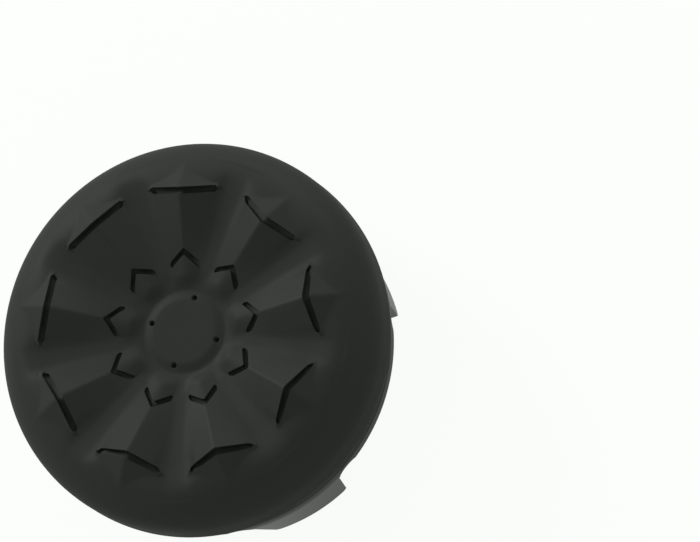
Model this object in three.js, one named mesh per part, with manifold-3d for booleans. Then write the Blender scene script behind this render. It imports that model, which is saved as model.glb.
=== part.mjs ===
// Thumb grip for a controller stick: a soft treaded pad on a hard clip with four snap claws.
// Millimetres, +Z up. The grip stands on its claw tips, and the origin is the middle of that plane.

import * as THREE from 'three';
import { ConvexGeometry } from 'three/addons/geometries/ConvexGeometry.js';
import { mergeVertices, toCreasedNormals } from 'three/addons/utils/BufferGeometryUtils.js';
import Module from 'manifold-3d';

const wasm = await Module();
wasm.setup();

// Pad: outer form
const PAD_RADIUS = 11.5;
const PAD_BACK_ROUND = 1.0;
const PAD_SIDE_HEIGHT = 1.2;
const PAD_SHOULDER_ROUND = 2.9;

// Pad: dished face. Every depth is measured down from the top of the shoulder.
const CENTRE_RADIUS = 2.0;
const CENTRE_DEPTH = 0.98;
const CENTRE_RING_WIDTH = 0.35;
const CENTRE_RING_DEPTH = 1.14;
const VALLEY_START_RADIUS = 3.86;
const VALLEY_START_DEPTH = 0.86;
const VALLEY_END_RADIUS = 8.54;
const VALLEY_END_DEPTH = 0.27;
const VALLEY_RUN_OUT_RADIUS = 9.6;

// Tread: nine roof-shaped ridges, each cut by an inner and an outer slot
const TREAD_COUNT = 9;
const TREAD_FIRST_ANGLE = THREE.MathUtils.degToRad(20);
const CREST_INNER_RADIUS = 4.62;
const CREST_INNER_DEPTH = 0.42;
const CREST_OUTER_RADIUS = 7.98;
const CREST_OUTER_RISE = 0.9;
const RIDGE_FOOT_ANGLE = THREE.MathUtils.degToRad(16.5);
const RIDGE_ROOT_DEPTH = 1.6;
const WEDGE_APEX_RADIUS = 9.9;
const OUTER_SLOT_END_ANGLE = THREE.MathUtils.degToRad(13);
const OUTER_SLOT_WIDTH = 0.38;
const OUTER_SLOT_END_WIDTH = 0.28;
const OUTER_SLOT_DEPTH = 0.5;
const INNER_SLOT_END_ANGLE = THREE.MathUtils.degToRad(15);
const INNER_SLOT_WIDTH = 0.34;
const INNER_SLOT_END_WIDTH = 0.28;
const INNER_SLOT_DEPTH = 0.4;
const PETAL_START_RADIUS = 2.4;
const PETAL_START_DEPTH = 1.02;
const PETAL_CREST_DEPTH = 0.52;

// Four small pits on the edge of the central disc
const PIT_COUNT = 4;
const PIT_FIRST_ANGLE = THREE.MathUtils.degToRad(45);
const PIT_RADIUS = 0.2;
const PIT_DEPTH = 0.35;

// Clip: rim, neck and bowl
const RIM_RADIUS = 10.8;
const RIM_THICKNESS = 1.2;
const RIM_EDGE_ROUND = 0.45;
const RIM_BACK_ROUND = 0.25;
const NECK_RADIUS = 9.4;
const NECK_GAP = 1.25;
const NECK_FILLET = 0.3;
const BOWL_RADIUS = 9.14;
const BOWL_DEPTH = 1.7;
const BOWL_FILLET = 1.2;
const BOWL_LIP = 0.15;
const BORE_RADIUS = 3.0;
const BORE_EDGE_ROUND = 0.4;
const BORE_DEPTH = 2.3;

// Clip: plate held inside the pad, and the clearance between the two mouldings
const PAD_BACK_LIP = 0.8;
const PLATE_RADIUS = 10.0;
const PLATE_THICKNESS = 1.4;
const PLATE_CHAMFER = 0.4;
const BOND_CLEARANCE = 0.1;

// Clip: four snap claws
const CLAW_COUNT = 4;
const CLAW_HEIGHT = 3.8;
const CLAW_HALF_ANGLE = THREE.MathUtils.degToRad(13.8);
const CLAW_DRAFT = 0.3;
const CLAW_ROOT = 0.4;
const CLAW_CORNER_ROUND = 0.4;
const TIP_RADIUS = 10.1;
const TIP_LAND = 0.28;
const HOOK_REACH = 0.39;
const HOOK_LIP_HEIGHT = 0.95;
const HOOK_LIP_LAND = 0.15;
const HOOK_UNDERSIDE = 0.35;
const NOTCH_ROUND = 0.8;
const NOTCH_DEPTH = 0.25;

// Fineness of the turned and rounded forms
const AROUND = 72;
const ARC_STEPS = 3;
const NOTCH_SIDES = 24;
const PIT_SIDES = 8;
const WELD_DISTANCE = 1e-4;
const CREASE_ANGLE = THREE.MathUtils.degToRad(30);

// Heights above the claw tips
const rimZ = CLAW_HEIGHT;
const rimBackZ = rimZ + RIM_THICKNESS;
const floorZ = rimZ + BOWL_DEPTH;
const boreEndZ = floorZ + BORE_DEPTH;
const padBackZ = rimBackZ + NECK_GAP;
const plateBackZ = padBackZ + PAD_BACK_LIP;
const plateFrontZ = plateBackZ + PLATE_THICKNESS;
const shoulderStartZ = padBackZ + PAD_BACK_ROUND + PAD_SIDE_HEIGHT;
const shoulderTopZ = shoulderStartZ + PAD_SHOULDER_ROUND;
const shoulderRadius = PAD_RADIUS - PAD_SHOULDER_ROUND;
const rootZ = shoulderTopZ - RIDGE_ROOT_DEPTH;

// Height of the round shoulder at a radius: level inside its top, falling outside it.
function shoulderZ(radius) {
  const run = Math.max(radius - shoulderRadius, 0);
  return shoulderStartZ + Math.sqrt(PAD_SHOULDER_ROUND ** 2 - run ** 2);
}

// A closed mesh becomes a solid: equal corners are welded and flat slivers dropped.
function solid(geometry) {
  geometry.deleteAttribute('normal');
  geometry.deleteAttribute('uv');
  const welded = mergeVertices(geometry, WELD_DISTANCE);
  const corners = welded.index.array;
  const kept = [];
  for (let i = 0; i < corners.length; i += 3) {
    const [a, b, c] = [corners[i], corners[i + 1], corners[i + 2]];
    if (a !== b && b !== c && c !== a) kept.push(a, b, c);
  }
  return new wasm.Manifold(new wasm.Mesh({
    numProp: 3,
    vertProperties: new Float32Array(welded.attributes.position.array),
    triVerts: new Uint32Array(kept),
  }));
}

// A solid becomes a mesh geometry again, smooth across shallow facets and sharp at real edges.
function shown(body) {
  const mesh = body.getMesh();
  const geometry = new THREE.BufferGeometry();
  geometry.setAttribute('position', new THREE.BufferAttribute(mesh.vertProperties, 3));
  geometry.setIndex(new THREE.BufferAttribute(mesh.triVerts, 1));
  return toCreasedNormals(geometry, CREASE_ANGLE);
}

// An outline in radius and height, turned about the upright axis.
function turned(outline) {
  const geometry = new THREE.LatheGeometry(outline.getPoints(ARC_STEPS), AROUND);
  geometry.rotateX(Math.PI / 2);
  return solid(geometry);
}

// Copies of one geometry at equal angles about the upright axis, each as a solid.
function ringOf(geometry, count, firstAngle) {
  const copies = [];
  for (let i = 0; i < count; i += 1) {
    const angle = firstAngle + i * 2 * Math.PI / count;
    copies.push(solid(geometry.clone().rotateZ(angle)));
  }
  return copies;
}

function polar(radius, angle, z) {
  return new THREE.Vector3(radius * Math.cos(angle), radius * Math.sin(angle), z);
}

// The pad without its tread: rounded back edge, side, round shoulder, a dish as deep as the
// valleys, and the socket that the clip's neck and plate fill.
function padBody() {
  const socketRadius = PLATE_RADIUS + BOND_CLEARANCE;
  const socketBackZ = plateBackZ - BOND_CLEARANCE;
  const socketFrontZ = plateFrontZ + BOND_CLEARANCE;
  const runOutAngle = Math.acos((VALLEY_RUN_OUT_RADIUS - shoulderRadius) / PAD_SHOULDER_ROUND);
  const outline = new THREE.Path();
  outline.moveTo(0, socketFrontZ);
  outline.lineTo(socketRadius - PLATE_CHAMFER, socketFrontZ);
  outline.lineTo(socketRadius, socketFrontZ - PLATE_CHAMFER);
  outline.lineTo(socketRadius, socketBackZ);
  outline.lineTo(NECK_RADIUS + BOND_CLEARANCE, socketBackZ);
  outline.lineTo(NECK_RADIUS + BOND_CLEARANCE, padBackZ);
  outline.absarc(PAD_RADIUS - PAD_BACK_ROUND, padBackZ + PAD_BACK_ROUND, PAD_BACK_ROUND,
    -Math.PI / 2, 0, false);
  outline.absarc(shoulderRadius, shoulderStartZ, PAD_SHOULDER_ROUND, 0, runOutAngle, false);
  outline.lineTo(VALLEY_END_RADIUS, shoulderTopZ - VALLEY_END_DEPTH);
  outline.lineTo(VALLEY_START_RADIUS, shoulderTopZ - VALLEY_START_DEPTH);
  outline.lineTo(CENTRE_RADIUS + CENTRE_RING_WIDTH, shoulderTopZ - CENTRE_RING_DEPTH);
  outline.lineTo(CENTRE_RADIUS, shoulderTopZ - CENTRE_DEPTH);
  outline.lineTo(0, shoulderTopZ - CENTRE_DEPTH);
  return turned(outline);
}

// One roof-shaped ridge: a crest that climbs outwards, and two flanks down to the valleys.
function ridgeGeometry() {
  const points = [
    polar(CREST_INNER_RADIUS, 0, shoulderTopZ - CREST_INNER_DEPTH),
    polar(CREST_OUTER_RADIUS, 0, shoulderTopZ + CREST_OUTER_RISE),
  ];
  for (const foot of [-RIDGE_FOOT_ANGLE, RIDGE_FOOT_ANGLE]) {
    points.push(polar(VALLEY_START_RADIUS, foot, shoulderTopZ - VALLEY_START_DEPTH));
    points.push(polar(VALLEY_END_RADIUS, foot, shoulderTopZ - VALLEY_END_DEPTH));
    points.push(polar(VALLEY_START_RADIUS, foot, rootZ));
    points.push(polar(VALLEY_END_RADIUS, foot, rootZ));
  }
  for (const end of [-OUTER_SLOT_END_ANGLE, OUTER_SLOT_END_ANGLE]) {
    points.push(polar(VALLEY_END_RADIUS, end, shoulderTopZ));
    points.push(polar(VALLEY_END_RADIUS, end, rootZ));
  }
  return new ConvexGeometry(points);
}

// The wedge outside a ridge: it falls from the end of the crest to a point on the shoulder.
function wedgeGeometry() {
  const points = [
    polar(CREST_OUTER_RADIUS, 0, shoulderTopZ + CREST_OUTER_RISE),
    polar(CREST_OUTER_RADIUS, 0, rootZ),
    polar(WEDGE_APEX_RADIUS, 0, shoulderZ(WEDGE_APEX_RADIUS)),
    polar(shoulderRadius, 0, rootZ),
  ];
  for (const end of [-OUTER_SLOT_END_ANGLE, OUTER_SLOT_END_ANGLE]) {
    points.push(polar(VALLEY_END_RADIUS, end, shoulderTopZ));
    points.push(polar(VALLEY_END_RADIUS, end, rootZ));
  }
  return new ConvexGeometry(points);
}

// The shoulder carried inwards to a ridge's outer slot, between two valleys that run out in it.
function landGeometry() {
  const runOutZ = shoulderZ(VALLEY_RUN_OUT_RADIUS);
  const middleRadius = (VALLEY_END_RADIUS + VALLEY_RUN_OUT_RADIUS) / 2;
  const middleValleyZ = (shoulderTopZ - VALLEY_END_DEPTH + runOutZ) / 2;
  const points = [];
  for (const radius of [VALLEY_END_RADIUS, middleRadius, VALLEY_RUN_OUT_RADIUS]) {
    for (const share of [-1, -0.5, 0, 0.5, 1]) {
      points.push(polar(radius, share * OUTER_SLOT_END_ANGLE, shoulderZ(radius)));
    }
  }
  for (const foot of [-RIDGE_FOOT_ANGLE, RIDGE_FOOT_ANGLE]) {
    points.push(polar(VALLEY_END_RADIUS, foot, shoulderTopZ - VALLEY_END_DEPTH));
    points.push(polar(middleRadius, foot, middleValleyZ));
    points.push(polar(VALLEY_RUN_OUT_RADIUS, foot, runOutZ));
    points.push(polar(VALLEY_END_RADIUS, foot, rootZ));
    points.push(polar(VALLEY_RUN_OUT_RADIUS, foot, rootZ));
  }
  return new ConvexGeometry(points);
}

// The small raised petal inside an inner slot.
function petalGeometry() {
  const points = [
    polar(CREST_INNER_RADIUS, 0, shoulderTopZ - PETAL_CREST_DEPTH),
    polar(CREST_INNER_RADIUS, 0, rootZ),
    polar(PETAL_START_RADIUS, 0, shoulderTopZ - PETAL_START_DEPTH),
    polar(PETAL_START_RADIUS, 0, rootZ),
  ];
  for (const end of [-INNER_SLOT_END_ANGLE, INNER_SLOT_END_ANGLE]) {
    points.push(polar(VALLEY_START_RADIUS, end, shoulderTopZ - VALLEY_START_DEPTH));
    points.push(polar(VALLEY_START_RADIUS, end, rootZ));
    points.push(polar(PETAL_START_RADIUS, end, shoulderTopZ - CENTRE_RING_DEPTH));
  }
  return new ConvexGeometry(points);
}

// One arm of a bent slot, as a solid to cut away. It runs from the bend on the crest to the
// slot's end, and its floor keeps one depth below the ridge.
function slotArmGeometry(bend, end, width, endWidth, depth) {
  const topZ = shoulderTopZ + CREST_OUTER_RISE + width;
  const points = [];
  for (const side of [-1, 1]) {
    const bendX = bend.x + side * width / 2;
    const endX = end.x + side * endWidth / 2;
    points.push(new THREE.Vector3(bendX, 0, bend.z - depth));
    points.push(new THREE.Vector3(bendX, 0, topZ));
    points.push(new THREE.Vector3(endX, end.y, end.z - depth));
    points.push(new THREE.Vector3(endX, end.y, topZ));
  }
  return new ConvexGeometry(points);
}

function pitGeometry() {
  const geometry = new THREE.CylinderGeometry(PIT_RADIUS, PIT_RADIUS, 2 * PIT_DEPTH, PIT_SIDES);
  geometry.rotateX(Math.PI / 2);
  return geometry.translate(CENTRE_RADIUS, 0, shoulderTopZ - CENTRE_DEPTH);
}

function gripPad() {
  let body = padBody();
  for (const raised of [landGeometry(), ridgeGeometry(), wedgeGeometry(), petalGeometry()]) {
    for (const copy of ringOf(raised, TREAD_COUNT, TREAD_FIRST_ANGLE)) body = body.add(copy);
  }
  const outerBend = polar(CREST_OUTER_RADIUS, 0, shoulderTopZ + CREST_OUTER_RISE);
  const innerBend = polar(CREST_INNER_RADIUS, 0, shoulderTopZ - CREST_INNER_DEPTH);
  for (const side of [-1, 1]) {
    const outerEnd = polar(VALLEY_END_RADIUS, side * OUTER_SLOT_END_ANGLE, shoulderTopZ);
    const innerEnd = polar(VALLEY_START_RADIUS, side * INNER_SLOT_END_ANGLE,
      shoulderTopZ - VALLEY_START_DEPTH);
    const arms = [
      slotArmGeometry(outerBend, outerEnd, OUTER_SLOT_WIDTH, OUTER_SLOT_END_WIDTH, OUTER_SLOT_DEPTH),
      slotArmGeometry(innerBend, innerEnd, INNER_SLOT_WIDTH, INNER_SLOT_END_WIDTH, INNER_SLOT_DEPTH),
    ];
    for (const arm of arms) {
      for (const copy of ringOf(arm, TREAD_COUNT, TREAD_FIRST_ANGLE)) body = body.subtract(copy);
    }
  }
  for (const pit of ringOf(pitGeometry(), PIT_COUNT, PIT_FIRST_ANGLE)) body = body.subtract(pit);
  return body;
}

// The clip without its claws: bore, bowl, rim, neck and plate in one turned form.
function clipBody() {
  const outline = new THREE.Path();
  outline.moveTo(0, boreEndZ);
  outline.lineTo(BORE_RADIUS, boreEndZ);
  outline.absarc(BORE_RADIUS + BORE_EDGE_ROUND, floorZ + BORE_EDGE_ROUND, BORE_EDGE_ROUND,
    Math.PI, 1.5 * Math.PI, false);
  outline.absarc(BOWL_RADIUS - BOWL_FILLET, floorZ - BOWL_FILLET, BOWL_FILLET,
    Math.PI / 2, 0, true);
  outline.lineTo(BOWL_RADIUS, rimZ + BOWL_LIP);
  outline.lineTo(BOWL_RADIUS + BOWL_LIP, rimZ);
  outline.absarc(RIM_RADIUS - RIM_EDGE_ROUND, rimZ + RIM_EDGE_ROUND, RIM_EDGE_ROUND,
    -Math.PI / 2, 0, false);
  outline.absarc(RIM_RADIUS - RIM_BACK_ROUND, rimBackZ - RIM_BACK_ROUND, RIM_BACK_ROUND,
    0, Math.PI / 2, false);
  outline.absarc(NECK_RADIUS + NECK_FILLET, rimBackZ + NECK_FILLET, NECK_FILLET,
    -Math.PI / 2, Math.PI, true);
  outline.lineTo(NECK_RADIUS, plateBackZ);
  outline.lineTo(PLATE_RADIUS, plateBackZ);
  outline.lineTo(PLATE_RADIUS, plateFrontZ - PLATE_CHAMFER);
  outline.lineTo(PLATE_RADIUS - PLATE_CHAMFER, plateFrontZ);
  outline.lineTo(0, plateFrontZ);
  return turned(outline);
}

// The claw's section, turned into a full ring: straight inner wall, hook with a lead-in slope,
// narrow tip land, and an outer face that leans inwards towards the tip.
function clawRing() {
  const hookRadius = BOWL_RADIUS - HOOK_REACH;
  const hookTopZ = HOOK_LIP_HEIGHT + HOOK_LIP_LAND;
  const outline = new THREE.Path();
  outline.moveTo(BOWL_RADIUS, rimZ + CLAW_ROOT);
  outline.lineTo(BOWL_RADIUS, hookTopZ + HOOK_UNDERSIDE);
  outline.lineTo(hookRadius, hookTopZ);
  outline.lineTo(hookRadius, HOOK_LIP_HEIGHT);
  outline.lineTo(TIP_RADIUS - TIP_LAND, 0);
  outline.lineTo(TIP_RADIUS, 0);
  outline.lineTo(RIM_RADIUS, rimZ + CLAW_ROOT);
  outline.closePath();
  return turned(outline);
}

// Half the width of a claw at its tip, and where its side meets the notch's round.
const tipHalfWidth = TIP_RADIUS * Math.sin(CLAW_HALF_ANGLE);
const notchY = tipHalfWidth + CLAW_DRAFT + NOTCH_ROUND;
const notchZ = rimZ + NOTCH_DEPTH - NOTCH_ROUND;

// The claw seen from outside, carried outwards through the claw ring: round tip corners,
// drafted sides, and a wide foot that the notches round off.
function clawSideGeometry() {
  const cornerY = tipHalfWidth - CLAW_CORNER_ROUND;
  const outline = new THREE.Shape();
  outline.absarc(-cornerY, CLAW_CORNER_ROUND, CLAW_CORNER_ROUND, Math.PI, 1.5 * Math.PI, false);
  outline.absarc(cornerY, CLAW_CORNER_ROUND, CLAW_CORNER_ROUND, 1.5 * Math.PI, 2 * Math.PI, false);
  outline.lineTo(tipHalfWidth + CLAW_DRAFT, notchZ);
  outline.lineTo(notchY, notchZ);
  outline.lineTo(notchY, rimZ + 2 * CLAW_ROOT);
  outline.lineTo(-notchY, rimZ + 2 * CLAW_ROOT);
  outline.lineTo(-notchY, notchZ);
  outline.lineTo(-tipHalfWidth - CLAW_DRAFT, notchZ);
  outline.closePath();
  const geometry = new THREE.ExtrudeGeometry(outline, {
    depth: PAD_RADIUS,
    bevelEnabled: false,
    curveSegments: ARC_STEPS,
  });
  geometry.rotateX(Math.PI / 2);
  return geometry.rotateZ(Math.PI / 2);
}

// A round-bottomed notch beside a claw, running outwards through the rim.
function notchGeometry(side) {
  const geometry = new THREE.CylinderGeometry(NOTCH_ROUND, NOTCH_ROUND, PAD_RADIUS, NOTCH_SIDES);
  geometry.rotateZ(Math.PI / 2);
  return geometry.translate(PAD_RADIUS, side * notchY, notchZ);
}

function clipBase() {
  const ring = clawRing();
  let body = clipBody();
  for (const side of ringOf(clawSideGeometry(), CLAW_COUNT, 0)) body = body.add(ring.intersect(side));
  for (const side of [-1, 1]) {
    for (const notch of ringOf(notchGeometry(side), CLAW_COUNT, 0)) body = body.subtract(notch);
  }
  return body;
}

function named(name, body, material) {
  const mesh = new THREE.Mesh(shown(body), material);
  mesh.name = name;
  return mesh;
}

const rubber = new THREE.MeshStandardMaterial({ color: '#2e302d', roughness: 0.78, metalness: 0 });
const plastic = new THREE.MeshStandardMaterial({ color: '#141614', roughness: 0.22, metalness: 0 });

const thumbGrip = new THREE.Group();
thumbGrip.add(named('grip_pad', gripPad(), rubber));
thumbGrip.add(named('clip_base', clipBase(), plastic));

export default thumbGrip;
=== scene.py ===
# Thumb grip for a controller stick: a soft treaded pad on a hard clip with four snap claws.
# Metres, +Z up. The grip stands on its claw tips with its pad upwards.

import math
import bpy
import numpy as np
from mathutils import Matrix, Vector


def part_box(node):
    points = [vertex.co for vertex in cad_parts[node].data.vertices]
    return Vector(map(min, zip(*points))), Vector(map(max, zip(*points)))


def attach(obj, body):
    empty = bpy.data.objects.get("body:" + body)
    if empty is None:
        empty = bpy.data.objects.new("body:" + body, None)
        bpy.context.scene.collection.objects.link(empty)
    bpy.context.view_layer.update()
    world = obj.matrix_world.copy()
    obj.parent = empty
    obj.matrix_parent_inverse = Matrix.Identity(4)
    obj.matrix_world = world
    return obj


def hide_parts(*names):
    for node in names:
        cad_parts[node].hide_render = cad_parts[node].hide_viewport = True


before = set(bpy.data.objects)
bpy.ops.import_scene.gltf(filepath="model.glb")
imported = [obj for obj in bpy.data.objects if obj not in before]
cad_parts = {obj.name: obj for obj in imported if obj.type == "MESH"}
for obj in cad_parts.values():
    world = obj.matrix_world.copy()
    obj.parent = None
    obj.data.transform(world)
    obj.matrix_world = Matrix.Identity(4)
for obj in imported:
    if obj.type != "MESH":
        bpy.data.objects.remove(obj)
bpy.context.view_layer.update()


# Grip pad
# The pad is one moulding of matte black rubber, cast round the clip's plate. Its dished face
# carries nine roof-shaped ridges, each cut by a bent inner slot and a bent outer slot.

MM = 0.001
pad_low, pad_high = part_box("grip_pad")
clip_low, clip_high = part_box("clip_base")
pad_radius = (pad_high.x - pad_low.x) / 2
pad_back_z = pad_low.z
plate_front_z = clip_high.z

# The pad's outline, from its back edge up to the top of its round shoulder.
back_round = 1.0 * MM
side_height = 1.2 * MM
shoulder_round = 2.9 * MM
shoulder_radius = pad_radius - shoulder_round
shoulder_start_z = pad_back_z + back_round + side_height
shoulder_z = shoulder_start_z + shoulder_round
shoulder_rows_end = math.radians(58)

# The ridges. A place on the face is a pair of radius and height over the shoulder's top.
ridges = 9
ridge_pitch = 2 * math.pi / ridges
first_ridge = math.radians(20.6)
crest_rise = pad_high.z - shoulder_z
crest_inner = (4.62 * MM, -0.42 * MM)
crest_outer = (7.98 * MM, crest_rise)
valley_inner = (3.86 * MM, -0.86 * MM)
valley_outer = (8.54 * MM, -0.27 * MM)
valley_foot = 0.77
valley_softness = 0.1
crest_softness = math.radians(0.5)
dish_softness = 0.24 * MM
dish_blend_angle = math.radians(3)
dish_blend_start = 6.4 * MM
dish_blend_run = 1.8 * MM

# The wedge outside each ridge and the petal inside it.
wedge_apex = 10.15 * MM
wedge_side_slope = 4
wedge_seam_softness = 0.03 * MM
petal_rise = 0.29 * MM
petal_start = 2.52 * MM
petal_top = 3.35 * MM
petal_half_angle = math.radians(19)

# The slots. An end is a pair of radius and angle from the crest. The section gives places across a
# slot, from -1 at one edge to 1 at the other, with the share of the depth reached there.
outer_slot_end = (8.5 * MM, math.radians(13.8))
inner_slot_end = (3.95 * MM, math.radians(12.8))
outer_slot_width = 0.44 * MM
outer_slot_depth = 0.46 * MM
inner_slot_width = 0.41 * MM
inner_slot_depth = 0.37 * MM
slot_end_share = 0.88
slot_end_depth_share = 0.42
slot_level_reach = 0.3
slot_close_start = 0.94
slot_close_run = 0.08
slot_floor_gain = 1.6
closed_half_width = 0.02 * MM
closed_gain = 2
closed_run = 0.6 * MM
slot_section = (
    (-1.0, 0), (-0.985, 0.1), (-0.955, 0.5), (-0.92, 0.9), (-0.85, 1), (-0.4, 1), (0, 1),
    (0.4, 1), (0.85, 1), (0.92, 0.9), (0.955, 0.5), (0.985, 0.1), (1.0, 0),
)

# The middle disc with the ring round it, and the four pits.
centre_radius = 1.82 * MM
centre_depth = 0.98 * MM
ring_radius = 2.48 * MM
ring_depth = 1.11 * MM
ring_blend_gain = 2
pit_count = 4
first_pit = math.pi / 4
pit_place = 2.05 * MM
pit_radius = 0.14 * MM
pit_depth = 0.3 * MM
pit_floor_share = 0.35


def eased(t):
    """0 below 0 and 1 above 1, with a smooth S-shaped climb, 3 t squared less 2 t cubed, between."""
    t = np.clip(t, 0, 1)
    return t * t * (3 - 2 * t)


def soft_least(a, b, width):
    """The smaller of two heights, with the corner between them rounded over a width: half of their
    sum less the root of their squared difference and the squared width."""
    return 0.5 * (a + b - np.sqrt((a - b) ** 2 + width ** 2))


def soft_most(a, b, width):
    """The larger of two heights, rounded in the same way: half of their sum and that root."""
    return 0.5 * (a + b + np.sqrt((a - b) ** 2 + width ** 2))


def line(x, start, end):
    """The straight line through two (place, height) points."""
    return start[1] + (x - start[0]) * (end[1] - start[1]) / (end[0] - start[0])


def flank(t):
    """How far a flank has fallen at a share t of the way from crest to valley: straight down to
    its foot, then level along the valley."""
    return soft_least(t / valley_foot, 1, valley_softness)


def across(angle):
    """The angle from the nearest crest, made round at the crest itself: the root of its square and
    a small square, less the small angle."""
    return np.sqrt(angle ** 2 + crest_softness ** 2) - crest_softness


def slot_path(angle, bend_radius, end):
    """The radius of a slot's middle: a straight arm from the bend on the crest to the slot's end,
    and the end's own radius past it."""
    end_radius, end_angle = end
    held = np.minimum(across(angle), end_angle)
    slope = (end_radius * math.cos(end_angle) - bend_radius) / (end_radius * math.sin(end_angle))
    return bend_radius / (np.cos(held) - slope * np.sin(held))


def slot_taper(angle, end_angle, end_share):
    """A slot's width as a share of its middle width: it narrows evenly to a share at its end and
    closes there."""
    reach = np.abs(angle) / end_angle
    narrowed = 1 - (1 - end_share) * np.minimum(reach, 1)
    return narrowed * (1 - eased((reach - slot_close_start) / slot_close_run))


def slot_sink(angle, end_angle, opened):
    """A slot's depth as a share of its middle depth: level round the bend, smoothly less towards
    the ends, and nothing where the slot is closed."""
    rise = eased(np.abs(angle) / end_angle - slot_level_reach) / eased(1 - slot_level_reach)
    return (1 - (1 - slot_end_depth_share) * rise) * eased(opened * slot_floor_gain)


def shoulder(radius):
    """Height of the round shoulder: a quarter circle outside, level inside its top."""
    run = np.clip(radius - shoulder_radius, 0, shoulder_round)
    return np.sqrt(shoulder_round ** 2 - run ** 2) - shoulder_round


def roof(radius, angle):
    """Height of the ridges: the crest's line falls by the flank to the valley's line."""
    crest = line(radius * np.cos(angle), crest_inner, crest_outer)
    valley = line(radius, valley_inner, valley_outer)
    return crest - (crest - valley) * flank(across(angle) / (ridge_pitch / 2))


def petals(radius, angle):
    """Height inside the inner slots: a straight climb from the ring to the valley, with a petal that
    swells towards each slot and is round-backed as a squared cosine of the angle."""
    valley = line(radius, (ring_radius, -ring_depth), valley_inner)
    along = eased((radius - petal_start) / (petal_top - petal_start))
    back = np.cos(np.minimum(np.abs(angle) / petal_half_angle, 1) * math.pi / 2) ** 2
    return valley + petal_rise * along * back


def wedge(radius, angle):
    """Height of the wedge outside a ridge: two planes from the crest's end down to a point, and a
    steep side past each end of the slot."""
    x = radius * np.cos(angle)
    y = radius * np.sin(across(angle))
    end_x = outer_slot_end[0] * math.cos(outer_slot_end[1])
    end_y = outer_slot_end[0] * math.sin(outer_slot_end[1])
    apex_height = float(shoulder(np.array(wedge_apex)))
    fall = (apex_height - crest_rise) / (wedge_apex - crest_outer[0])
    lean = (-crest_rise - fall * (end_x - crest_outer[0])) / end_y
    side = wedge_side_slope * np.maximum(y - end_y, 0)
    return crest_rise + fall * (x - crest_outer[0]) + lean * y - side


def dish(radius, angle):
    """Height where the valleys run out into the round shoulder: the smaller of the two, softened."""
    return soft_least(roof(radius, angle), shoulder(radius), dish_softness)


def outside(radius, angle):
    """Height outside the outer slots: the larger of the dish and the wedge, softened."""
    return soft_most(dish(radius, angle), wedge(radius, angle), wedge_seam_softness)


def inside(radius, angle):
    """Height inside the outer slots: the ridges, with a smooth change to the dish past the ends of
    the slots and towards the shoulder."""
    past = eased((np.abs(angle) - outer_slot_end[1]) / dish_blend_angle + 1)
    past = past * eased((radius - dish_blend_start) / dish_blend_run)
    return roof(radius, angle) * (1 - past) + dish(radius, angle) * past


def centre(radius):
    """Height of the middle disc: level, with a soft edge down to the shallow ring round it."""
    t = (radius - centre_radius) / (ring_radius - centre_radius)
    return -centre_depth - (ring_depth - centre_depth) * eased(t)


def pits(x, y):
    """Depth of the small pits on the edge of the middle disc: level in the middle of each, with an
    S-shaped wall."""
    depth = np.zeros_like(x)
    for k in range(pit_count):
        turn = first_pit + k * 2 * math.pi / pit_count
        far = np.hypot(x - pit_place * math.cos(turn), y - pit_place * math.sin(turn))
        depth = depth + pit_depth * (1 - eased(far / pit_radius - pit_floor_share))
    return depth


def slot_rows(path, half, depth, inner, outer):
    """Rows across a slot, by its section: steep walls down to a level floor. The top passes evenly
    from the height at the first edge to the height at the second."""
    rows = []
    for place, sunk in slot_section:
        share = (place + 1) / 2
        rows.append((path + place * half, inner * (1 - share) + outer * share - sunk * depth))
    return rows


def face_rows(angle):
    """The whole face as rows of (radius, height) from the side to the middle, for every angle
    measured from its nearest crest."""
    outer_path = slot_path(angle, crest_outer[0], outer_slot_end)
    inner_path = slot_path(angle, crest_inner[0], inner_slot_end)
    outer_open = slot_taper(angle, outer_slot_end[1], slot_end_share)
    inner_open = slot_taper(angle, inner_slot_end[1], slot_end_share)
    outer_half = closed_half_width + (outer_slot_width / 2 - closed_half_width) * outer_open
    inner_half = closed_half_width + (inner_slot_width / 2 - closed_half_width) * inner_open
    outer_sink = outer_slot_depth * slot_sink(angle, outer_slot_end[1], outer_open)
    inner_sink = inner_slot_depth * slot_sink(angle, inner_slot_end[1], inner_open)
    rows = []
    for turn in np.linspace(0, shoulder_rows_end, 13):
        ring = np.full_like(angle, shoulder_radius + shoulder_round * math.cos(turn))
        rows.append((ring, shoulder(ring)))
    start = rows[-1][0]
    for share in np.linspace(0, 1, 27)[1:-1]:
        ring = start + (outer_path + outer_half - start) * share
        rows.append((ring, outside(ring, angle)))
    edge_in = outer_path - outer_half
    edge_out = outer_path + outer_half
    rows += slot_rows(outer_path, -outer_half, outer_sink, outside(edge_out, angle),
                      inside(edge_in, angle))
    petal_edge = inner_path - inner_half
    ridge_start = inner_path + inner_half
    for share in np.linspace(0, 1, 41)[1:-1]:
        ring = edge_in + (ridge_start - edge_in) * share
        rows.append((ring, inside(ring, angle)))
    closed = 1 - eased(inner_open * closed_gain)
    joined = petals(petal_edge, angle) * (1 - closed) + inside(petal_edge, angle) * closed
    rows += slot_rows(inner_path, -inner_half, inner_sink, inside(ridge_start, angle), joined)
    for share in np.linspace(0, 1, 19)[1:]:
        ring = petal_edge + (ring_radius - petal_edge) * share
        near = closed * eased(1 - (petal_edge - ring) / closed_run)
        rows.append((ring, petals(ring, angle) * (1 - near) + inside(ring, angle) * near))
    left_over = rows[-1][1] - centre(np.array(ring_radius))
    for share in np.linspace(0, 1, 13)[1:]:
        ring = np.full_like(angle, ring_radius + (centre_radius - ring_radius) * share)
        rows.append((ring, centre(ring) + left_over * (1 - eased(share * ring_blend_gain))))
    for share in np.linspace(0, 1, 7)[1:-1]:
        ring = np.full_like(angle, centre_radius * (1 - share))
        rows.append((ring, np.full_like(angle, -centre_depth)))
    return rows


sharp_edge = math.radians(38)


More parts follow.
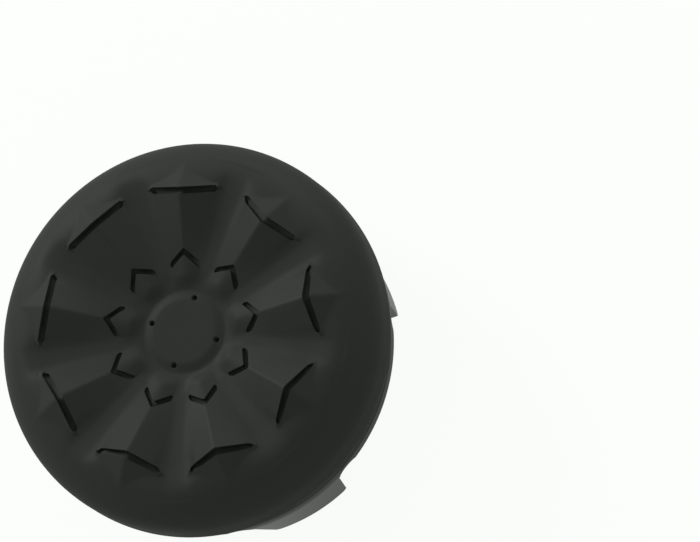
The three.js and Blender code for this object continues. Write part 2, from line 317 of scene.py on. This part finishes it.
def revolved(name, rows, turn):
    """A closed mesh from rings of (radius, height), one ring per row and one column per angle in
    turn. The first and last rows lie on the axis and become single points."""
    radius = np.array([np.broadcast_to(r, turn.shape) for r, z in rows[1:-1]])
    height = np.array([np.broadcast_to(z, turn.shape) for r, z in rows[1:-1]])
    count, columns = radius.shape
    places = np.stack([radius * np.cos(turn), radius * np.sin(turn), height], axis=-1).reshape(-1, 3)
    first = np.array([[0, 0, float(np.mean(rows[0][1]))]])
    last = np.array([[0, 0, float(np.mean(rows[-1][1]))]])
    places = np.concatenate([places, first, last])
    here = np.arange(count * columns).reshape(count, columns)
    beside = np.roll(here, -1, axis=1)
    quads = np.stack([here[:-1], beside[:-1], beside[1:], here[1:]], axis=-1).reshape(-1, 4)
    start_fan = np.stack([np.full(columns, count * columns), beside[0], here[0]], axis=-1)
    end_fan = np.stack([np.full(columns, count * columns + 1), here[-1], beside[-1]], axis=-1)
    mesh = bpy.data.meshes.new(name)
    mesh.from_pydata(places.tolist(), [], quads.tolist() + start_fan.tolist() + end_fan.tolist())
    mesh.update()
    mesh.shade_smooth()
    mesh.set_sharp_from_angle(angle=sharp_edge)
    piece = bpy.data.objects.new(name, mesh)
    bpy.context.scene.collection.objects.link(piece)
    return piece


def rounded(centre_r, centre_z, size, start, end, steps):
    """Points of (radius, height) along an arc between two angles in degrees."""
    return [(centre_r + size * math.cos(a), centre_z + size * math.sin(a))
            for a in np.radians(np.linspace(start, end, steps))]


# The socket in the pad's back keeps the bond's thickness off the clip's plate and neck.
bond = 0.1 * MM
plate_radius = 10.0 * MM
plate_thickness = 1.4 * MM
plate_chamfer = 0.4 * MM
neck_radius = 9.4 * MM
plate_back_z = plate_front_z - plate_thickness
socket_radius = plate_radius + bond
socket_neck = neck_radius + bond
socket_edge = 0.15 * MM
socket_wall_start = 0.2 * MM
columns_per_ridge = 54
pad_columns = ridges * columns_per_ridge

# Every column's own angle, and its angle from the nearest crest.
pad_turn = np.arange(pad_columns) * 2 * math.pi / pad_columns
pad_local = (pad_turn - first_ridge + ridge_pitch / 2) % ridge_pitch - ridge_pitch / 2

pad_rows = [
    (0, plate_front_z + bond),
    (socket_radius - plate_chamfer, plate_front_z + bond),
    (socket_radius, plate_front_z + bond - plate_chamfer),
    (socket_radius, plate_back_z - bond),
    (socket_neck, plate_back_z - bond),
    (socket_neck, pad_back_z + socket_wall_start),
]
pad_rows += rounded(socket_neck + socket_edge, pad_back_z + socket_edge, socket_edge, 180, 270, 4)
pad_rows += rounded(pad_radius - back_round, pad_back_z + back_round, back_round, -90, 0, 11)
pad_rows += [(pad_radius, pad_back_z + back_round + side_height * share) for share in (0.33, 0.67)]
for ring, rise in face_rows(pad_local):
    x = ring * np.cos(pad_turn)
    y = ring * np.sin(pad_turn)
    pad_rows.append((ring, shoulder_z + rise - pits(x, y)))
pad_rows.append((0, shoulder_z - centre_depth))
pad_skin = revolved("pad_skin", pad_rows, pad_turn)


# How far from its middle a fleck fades out and is full, as shares of the flecks' spacing.
fleck_edge = 0.16
fleck_middle = 0.08


def moulded_surface():
    """The skin of any moulding, as a group. Grain is a fine even noise for bump. Cloud is a broad
    noise between 0 and 1 that shifts colour and roughness. Fleck is 1 on rare small specks."""
    group = bpy.data.node_groups.new("moulded_surface", "ShaderNodeTree")
    for label in ("Grain Scale", "Cloud Scale", "Fleck Scale"):
        group.interface.new_socket(label, in_out="INPUT", socket_type="NodeSocketFloat")
    for label in ("Grain", "Cloud", "Fleck"):
        group.interface.new_socket(label, in_out="OUTPUT", socket_type="NodeSocketFloat")
    nodes = group.nodes
    links = group.links
    inlet = nodes.new("NodeGroupInput")
    outlet = nodes.new("NodeGroupOutput")
    place = nodes.new("ShaderNodeTexCoord")
    for label, detail, roughness in (("Grain", 3, 0.6), ("Cloud", 4, 0.5)):
        noise = nodes.new("ShaderNodeTexNoise")
        noise.inputs["Detail"].default_value = detail
        noise.inputs["Roughness"].default_value = roughness
        links.new(place.outputs["Object"], noise.inputs["Vector"])
        links.new(inlet.outputs[label + " Scale"], noise.inputs["Scale"])
        links.new(noise.outputs["Fac"], outlet.inputs[label])
    cells = nodes.new("ShaderNodeTexVoronoi")
    specks = nodes.new("ShaderNodeMapRange")
    specks.inputs["From Min"].default_value = fleck_edge
    specks.inputs["From Max"].default_value = fleck_middle
    links.new(place.outputs["Object"], cells.inputs["Vector"])
    links.new(inlet.outputs["Fleck Scale"], cells.inputs["Scale"])
    links.new(cells.outputs["Distance"], specks.inputs["Value"])
    links.new(specks.outputs["Result"], outlet.inputs["Fleck"])
    return group


skin_group = moulded_surface()

# The cloud's usual lowest and highest value, and how high a fleck stands against the grain.
cloud_low = 0.3
cloud_high = 0.7
fleck_rise = 0.6


def moulded_material(name, scales, colours, roughness, bump):
    """A moulded finish: the cloud mixes two colours and two roughness values, and the grain and
    the specks raise a bump. Scales are features per metre, and bump is (strength, height)."""
    material = bpy.data.materials.new(name)
    material.use_nodes = True
    nodes = material.node_tree.nodes
    links = material.node_tree.links
    shader = nodes["Principled BSDF"]
    skin = nodes.new("ShaderNodeGroup")
    skin.node_tree = skin_group
    for label, scale in zip(("Grain Scale", "Cloud Scale", "Fleck Scale"), scales):
        skin.inputs[label].default_value = scale
    tint = nodes.new("ShaderNodeMix")
    tint.data_type = "RGBA"
    tint.inputs["A"].default_value = (*colours[0], 1)
    tint.inputs["B"].default_value = (*colours[1], 1)
    links.new(skin.outputs["Cloud"], tint.inputs["Factor"])
    links.new(tint.outputs["Result"], shader.inputs["Base Color"])
    shine = nodes.new("ShaderNodeMapRange")
    shine.inputs["From Min"].default_value = cloud_low
    shine.inputs["From Max"].default_value = cloud_high
    shine.inputs["To Min"].default_value = roughness[0]
    shine.inputs["To Max"].default_value = roughness[1]
    links.new(skin.outputs["Cloud"], shine.inputs["Value"])
    links.new(shine.outputs["Result"], shader.inputs["Roughness"])
    height = nodes.new("ShaderNodeMath")
    height.operation = "MULTIPLY_ADD"
    height.inputs[1].default_value = fleck_rise
    links.new(skin.outputs["Fleck"], height.inputs[0])
    links.new(skin.outputs["Grain"], height.inputs[2])
    relief = nodes.new("ShaderNodeBump")
    relief.inputs["Strength"].default_value = bump[0]
    relief.inputs["Distance"].default_value = bump[1]
    links.new(height.outputs["Value"], relief.inputs["Height"])
    links.new(relief.outputs["Normal"], shader.inputs["Normal"])
    return material


rubber = moulded_material(
    "matte_black_rubber",
    scales=(9000, 260, 2600),
    colours=((0.0240, 0.0268, 0.0238), (0.0278, 0.0308, 0.0276)),
    roughness=(0.5, 0.6),
    bump=(0.35, 0.012 * MM),
)
rubber.node_tree.nodes["Principled BSDF"].inputs["Specular IOR Level"].default_value = 0.1
pad_skin.data.materials.append(rubber)
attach(pad_skin, "root")
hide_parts("grip_pad")


# Clip
# The clip is one moulding of polished black plastic. Its plate sits inside the pad, a short neck
# carries a bowl with a blind bore, and four claws on the rim snap round the stick's cap.

bowl_radius = 9.14 * MM
bowl_depth = 1.7 * MM
bowl_fillet = 1.2 * MM
bore_radius = 3.0 * MM
bore_edge = 0.4 * MM
bore_depth = 2.3 * MM
rim_radius = (clip_high.x - clip_low.x) / 2
rim_thickness = 1.2 * MM
rim_edge = 0.45 * MM
rim_back_edge = 0.25 * MM
neck_gap = 1.25 * MM
neck_fillet = 0.3 * MM
bore_end_round = 0.3 * MM
claw_tip_z = clip_low.z
rim_back_z = pad_back_z - neck_gap
rim_z = rim_back_z - rim_thickness
bowl_floor_z = rim_z + bowl_depth
claw_height = rim_z - claw_tip_z

claws = 4
tip_radius = 10.1 * MM
tip_land = 0.28 * MM
tip_half_angle = math.radians(13.8)
corner_round = 0.4 * MM
claw_draft = 0.3 * MM
claw_root = 0.4 * MM
hook_reach = 0.39 * MM
hook_lip = 0.95 * MM
hook_land = 0.15 * MM
hook_underside = 0.35 * MM
notch_round = 0.8 * MM
notch_depth = 0.25 * MM
notch_softness = 0.05 * MM
wall_softness = 0.05 * MM


def claw_reach(turn):
    """How far the clip's edge stands out past the rim at each angle. Seen from outside, a claw is
    level at its tip, round at its corners and drafted down its sides to a round-bottomed notch."""
    pitch = 2 * math.pi / claws
    local = np.abs((turn + pitch / 2) % pitch - pitch / 2)
    y = tip_radius * np.sin(local)
    half = tip_radius * math.sin(tip_half_angle)
    corner = np.clip(y - (half - corner_round), 0, corner_round)
    top = claw_height - corner_round + np.sqrt(corner_round ** 2 - corner ** 2)
    low = notch_round - notch_depth
    foot = half + claw_draft
    side = line(y, (half, claw_height - corner_round), (foot, low))
    off = np.clip(y - (foot + notch_round), -notch_round, notch_round)
    notch = low - np.sqrt(notch_round ** 2 - off ** 2)
    reach = np.where(y < half, top, np.maximum(side, low))
    reach = np.where(y > foot, np.minimum(notch, low), reach)
    past = y > foot + notch_round
    return np.where(past, soft_least(notch, np.zeros_like(y), notch_softness), reach)


def claw_turns():
    """Column angles: close together round each claw's corners and sides, wider elsewhere."""
    half = tip_radius * math.sin(tip_half_angle)
    foot = half + claw_draft
    marks = np.concatenate([
        np.linspace(0, half - corner_round, 8)[:-1],
        half - corner_round * (1 - np.sin(np.linspace(0, math.pi / 2, 10)))[:-1],
        np.linspace(half, foot, 14)[:-1],
        foot + notch_round * (1 - np.cos(np.linspace(0, math.pi / 2, 10)))[:-1],
        foot + notch_round + np.linspace(0, 0.9 * MM, 10),
    ])
    near = np.arcsin(marks / tip_radius)
    far = np.linspace(near[-1], math.pi / claws, 12)[1:]
    side = np.concatenate([near, far])
    one = np.concatenate([side, (2 * math.pi / claws - side[1:-1])[::-1]])
    return np.concatenate([one + k * 2 * math.pi / claws for k in range(claws)])


def smoothed(z, corners, width):
    """A radius read from a broken line of (height, radius) corners, averaged over a small width."""
    heights = [c[0] for c in corners]
    radii = [c[1] for c in corners]
    return sum(np.interp(z + d, heights, radii) for d in np.linspace(-width, width, 7)) / 7


def inner_wall(z):
    """The claw's inner radius: straight wall, underside of the hook, lip, and lead-in slope."""
    lip_z = claw_tip_z + hook_lip
    corners = [
        (claw_tip_z, tip_radius - tip_land),
        (lip_z, bowl_radius - hook_reach),
        (lip_z + hook_land, bowl_radius - hook_reach),
        (lip_z + hook_land + hook_underside, bowl_radius),
        (rim_z + claw_height, bowl_radius),
    ]
    return smoothed(z, corners, wall_softness)


def outer_wall(z):
    """The claw's outer radius: it leans in from the rim to the tip."""
    corners = [(claw_tip_z, tip_radius), (rim_z + claw_root, rim_radius), (rim_back_z, rim_radius)]
    return smoothed(z, corners, wall_softness)


# The clip's lower edge follows the claws all round, and its edge rounds are smaller on a claw.
clip_turn = claw_turns()
reach = claw_reach(clip_turn)
edge_z = rim_z - reach
claw_foot_height = 0.8 * MM
claw_share = eased(reach / claw_foot_height)
rim_inner_edge = 0.12 * MM
claw_inner_edge = 0.09 * MM
claw_outer_edge = 0.1 * MM
inner_edge = rim_inner_edge - (rim_inner_edge - claw_inner_edge) * claw_share
outer_edge = rim_edge - (rim_edge - claw_outer_edge) * claw_share

# From the bore's end over the bowl's floor to the bowl's wall.
bore_end_z = bowl_floor_z + bore_depth
floor_start = bore_radius + bore_edge
floor_end = bowl_radius - bowl_fillet
wall_start = bowl_floor_z - bowl_fillet
clip_rows = [(bore_radius * share, bore_end_z) for share in (0, 0.4, 0.8)]
clip_rows += rounded(bore_radius - bore_end_round, bore_end_z - bore_end_round, bore_end_round, 90, 0, 6)
clip_rows += [(bore_radius, bowl_floor_z + bore_depth * share) for share in (0.7, 0.5, 0.3)]
clip_rows += rounded(floor_start, bowl_floor_z + bore_edge, bore_edge, 180, 270, 9)
clip_rows += [(floor_start + (floor_end - floor_start) * share, bowl_floor_z)
              for share in (0.2, 0.4, 0.6, 0.8)]
clip_rows += rounded(floor_end, wall_start, bowl_fillet, 90, 0, 15)

# Down the claw's inner wall. The rows lie close together at the hook, at these heights over the tip.
hook_rows = np.array([1.7, 1.55, 1.45, 1.38, 1.3, 1.2, 1.12, 1.06,
                      1.0, 0.94, 0.88, 0.75, 0.6, 0.45, 0.3, 0.2]) * MM
wall_end = edge_z + inner_edge
full_wall = wall_start - claw_tip_z - claw_inner_edge
wall_shares = np.concatenate([
    np.linspace(0, 0.38, 10)[1:],
    (wall_start - claw_tip_z - hook_rows) / full_wall,
    [1.0],
])
for share in wall_shares:
    z = wall_start + (wall_end - wall_start) * share
    clip_rows.append((inner_wall(z), z))

# Across the lower edge, with a round on each side of it.
cap_start = inner_wall(wall_end) + inner_edge
cap_end = outer_wall(edge_z + outer_edge) - outer_edge
for turn in np.radians(np.linspace(180, 270, 5))[1:]:
    clip_rows.append((cap_start + inner_edge * math.cos(turn), wall_end + inner_edge * math.sin(turn)))
for share in (0.2, 0.4, 0.6, 0.8):
    clip_rows.append((cap_start + (cap_end - cap_start) * share, edge_z))
face_start = edge_z + outer_edge
for turn in np.radians(np.linspace(270, 360, 7)):
    clip_rows.append((cap_end + outer_edge * math.cos(turn), face_start + outer_edge * math.sin(turn)))

# Up the outer face, round the rim's back edge, and over the neck and the plate.
face_end = rim_back_z - rim_back_edge
for share in np.linspace(0, 1, 19)[1:-1]:
    z = face_start + (face_end - face_start) * share
    clip_rows.append((outer_wall(z), z))
clip_rows += rounded(rim_radius - rim_back_edge, face_end, rim_back_edge, 0, 90, 7)
clip_rows += rounded(neck_radius + neck_fillet, rim_back_z + neck_fillet, neck_fillet, 270, 180, 7)
clip_rows += [
    (neck_radius, pad_back_z),
    (neck_radius, plate_back_z),
    (plate_radius, plate_back_z),
    (plate_radius, plate_front_z - plate_chamfer),
    (plate_radius - plate_chamfer, plate_front_z),
    (plate_radius / 2, plate_front_z),
    (0, plate_front_z),
]
clip_skin = revolved("clip_skin", clip_rows, clip_turn)

plastic = moulded_material(
    "polished_black_plastic",
    scales=(5200, 180, 900),
    colours=((0.0050, 0.0058, 0.0050), (0.0075, 0.0083, 0.0075)),
    roughness=(0.10, 0.17),
    bump=(0.06, 0.006 * MM),
)
plastic.node_tree.nodes["Principled BSDF"].inputs["IOR"].default_value = 1.5
clip_skin.data.materials.append(plastic)
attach(clip_skin, "root")
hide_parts("clip_base")


# Camera
# The grip is seen from above its pad, tipped so that a little of the clip shows at lower right.

image_width = 700
image_height = 542
sensor_width = 36.0
camera_azimuth = math.radians(-65.6)
camera_elevation = math.radians(68.5)
camera_roll = math.radians(54)
camera_distance = 650 * MM
pixels_per_mm = 17.24
pad_centre_px = (199.5, 342)
pad_middle = Vector((0, 0, pad_back_z + side_height))

# The camera's own axes, with the roll worked in, and the point that falls in the picture's middle.
side = Vector((math.cos(camera_azimuth), math.sin(camera_azimuth), 0))
level = Vector((-math.sin(camera_azimuth), math.cos(camera_azimuth), 0))
back = side * math.cos(camera_elevation) + Vector((0, 0, 1)) * math.sin(camera_elevation)
down = side * math.sin(camera_elevation) - Vector((0, 0, 1)) * math.cos(camera_elevation)
right = down * math.sin(camera_roll) + level * math.cos(camera_roll)
up = level * math.sin(camera_roll) - down * math.cos(camera_roll)
offset_right = (image_width / 2 - pad_centre_px[0]) / pixels_per_mm * MM
offset_up = (pad_centre_px[1] - image_height / 2) / pixels_per_mm * MM
aim = pad_middle + right * offset_right + up * offset_up
eye = aim + back * camera_distance

camera_data = bpy.data.cameras.new("camera")
camera_data.sensor_width = sensor_width
camera_data.lens = camera_distance / MM * pixels_per_mm * sensor_width / image_width
camera_data.clip_start = 0.01
camera_data.clip_end = 20
camera = bpy.data.objects.new("camera", camera_data)
turned = Matrix((right, up, back)).transposed()
camera.matrix_world = Matrix.Translation(eye) @ turned.to_4x4()
bpy.context.scene.collection.objects.link(camera)
bpy.context.scene.camera = camera


# Floor and light
# A plain pale floor under the claw tips, a soft lamp from the picture's upper left, a weaker one
# from its top edge, and a pale surround that grows brighter towards the horizon.

floor_half_size = 6.0
floor_paint = (0.48, 0.5, 0.48, 1)
backdrop_colour = (0.985, 1, 0.985, 1)
backdrop_strength = 1.07
backdrop_share_seen = 0.88
backdrop_share_mirrored = 0.16
surround_colour = (0.965, 1, 0.965, 1)


def pale_floor(half_size):
    """A flat square floor in the plane of the claw tips. What is seen of it is mostly the pale
    backdrop, with a share of the painted floor that holds the shadow."""
    corners = [(-half_size, -half_size, claw_tip_z), (half_size, -half_size, claw_tip_z),
               (half_size, half_size, claw_tip_z), (-half_size, half_size, claw_tip_z)]
    mesh = bpy.data.meshes.new("floor")
    mesh.from_pydata(corners, [], [(0, 1, 2, 3)])
    floor = bpy.data.objects.new("floor", mesh)
    bpy.context.scene.collection.objects.link(floor)
    material = bpy.data.materials.new("pale_floor")
    material.use_nodes = True
    nodes = material.node_tree.nodes
    links = material.node_tree.links
    paint = nodes["Principled BSDF"]
    paint.inputs["Base Color"].default_value = floor_paint
    paint.inputs["Roughness"].default_value = 1.0
    paint.inputs["Specular IOR Level"].default_value = 0.0
    glow = nodes.new("ShaderNodeEmission")
    glow.inputs["Color"].default_value = backdrop_colour
    glow.inputs["Strength"].default_value = backdrop_strength
    seen = nodes.new("ShaderNodeLightPath")
    mirrored = nodes.new("ShaderNodeMath")
    mirrored.operation = "MULTIPLY"
    mirrored.inputs[1].default_value = backdrop_share_mirrored
    share = nodes.new("ShaderNodeMath")
    share.operation = "MULTIPLY_ADD"
    share.inputs[1].default_value = backdrop_share_seen
    blend = nodes.new("ShaderNodeMixShader")
    links.new(seen.outputs["Is Glossy Ray"], mirrored.inputs[0])
    links.new(seen.outputs["Is Camera Ray"], share.inputs[0])
    links.new(mirrored.outputs["Value"], share.inputs[2])
    links.new(share.outputs["Value"], blend.inputs["Fac"])
    links.new(paint.outputs["BSDF"], blend.inputs[1])
    links.new(glow.outputs["Emission"], blend.inputs[2])
    links.new(blend.outputs["Shader"], nodes["Material Output"].inputs["Surface"])
    mesh.materials.append(material)
    return floor


def soft_lamp(name, direction, distance, size, watts):
    """A square area lamp that faces the pad. Its direction from the pad is given as shares of
    right, up and towards the eye in the picture."""
    data = bpy.data.lights.new(name, "AREA")
    data.size = size
    data.energy = watts
    lamp = bpy.data.objects.new(name, data)
    towards = (right * direction[0] + up * direction[1] + back * direction[2]).normalized()
    lamp.matrix_world = Matrix.Translation(pad_middle + towards * distance) @ (
        towards.to_track_quat("Z", "Y").to_matrix().to_4x4())
    bpy.context.scene.collection.objects.link(lamp)


def pale_world(overhead, horizon, backdrop):
    """A pale surround: its light grows from overhead to the horizon with the square of one less
    the direction's height, and it has a strength of its own where the camera sees it."""
    world = bpy.data.worlds.new("surround")
    world.use_nodes = True
    nodes = world.node_tree.nodes
    links = world.node_tree.links
    paint = nodes["Background"]
    paint.inputs["Color"].default_value = surround_colour
    place = nodes.new("ShaderNodeTexCoord")
    parts = nodes.new("ShaderNodeSeparateXYZ")
    low = nodes.new("ShaderNodeMath")
    low.operation = "SUBTRACT"
    low.use_clamp = True
    low.inputs[0].default_value = 1
    squared = nodes.new("ShaderNodeMath")
    squared.operation = "POWER"
    squared.inputs[1].default_value = 2
    spread = nodes.new("ShaderNodeMapRange")
    spread.inputs["To Min"].default_value = overhead
    spread.inputs["To Max"].default_value = horizon
    seen = nodes.new("ShaderNodeLightPath")
    strength = nodes.new("ShaderNodeMapRange")
    strength.inputs["To Max"].default_value = backdrop
    links.new(place.outputs["Generated"], parts.inputs["Vector"])
    links.new(parts.outputs["Z"], low.inputs[1])
    links.new(low.outputs["Value"], squared.inputs[0])
    links.new(squared.outputs["Value"], spread.inputs["Value"])
    links.new(seen.outputs["Is Camera Ray"], strength.inputs["Value"])
    links.new(spread.outputs["Result"], strength.inputs["To Min"])
    links.new(strength.outputs["Result"], paint.inputs["Strength"])
    bpy.context.scene.world = world


floor = pale_floor(floor_half_size)
soft_lamp("key_lamp", direction=(-0.8, 0.6, 0.2), distance=0.32, size=0.13, watts=0.58)
soft_lamp("top_lamp", direction=(0.17, 0.98, 0.2), distance=0.32, size=0.16, watts=0.25)
pale_world(overhead=0.36, horizon=1.3, backdrop=1.0)
bpy.context.scene.view_settings.view_transform = "Standard"
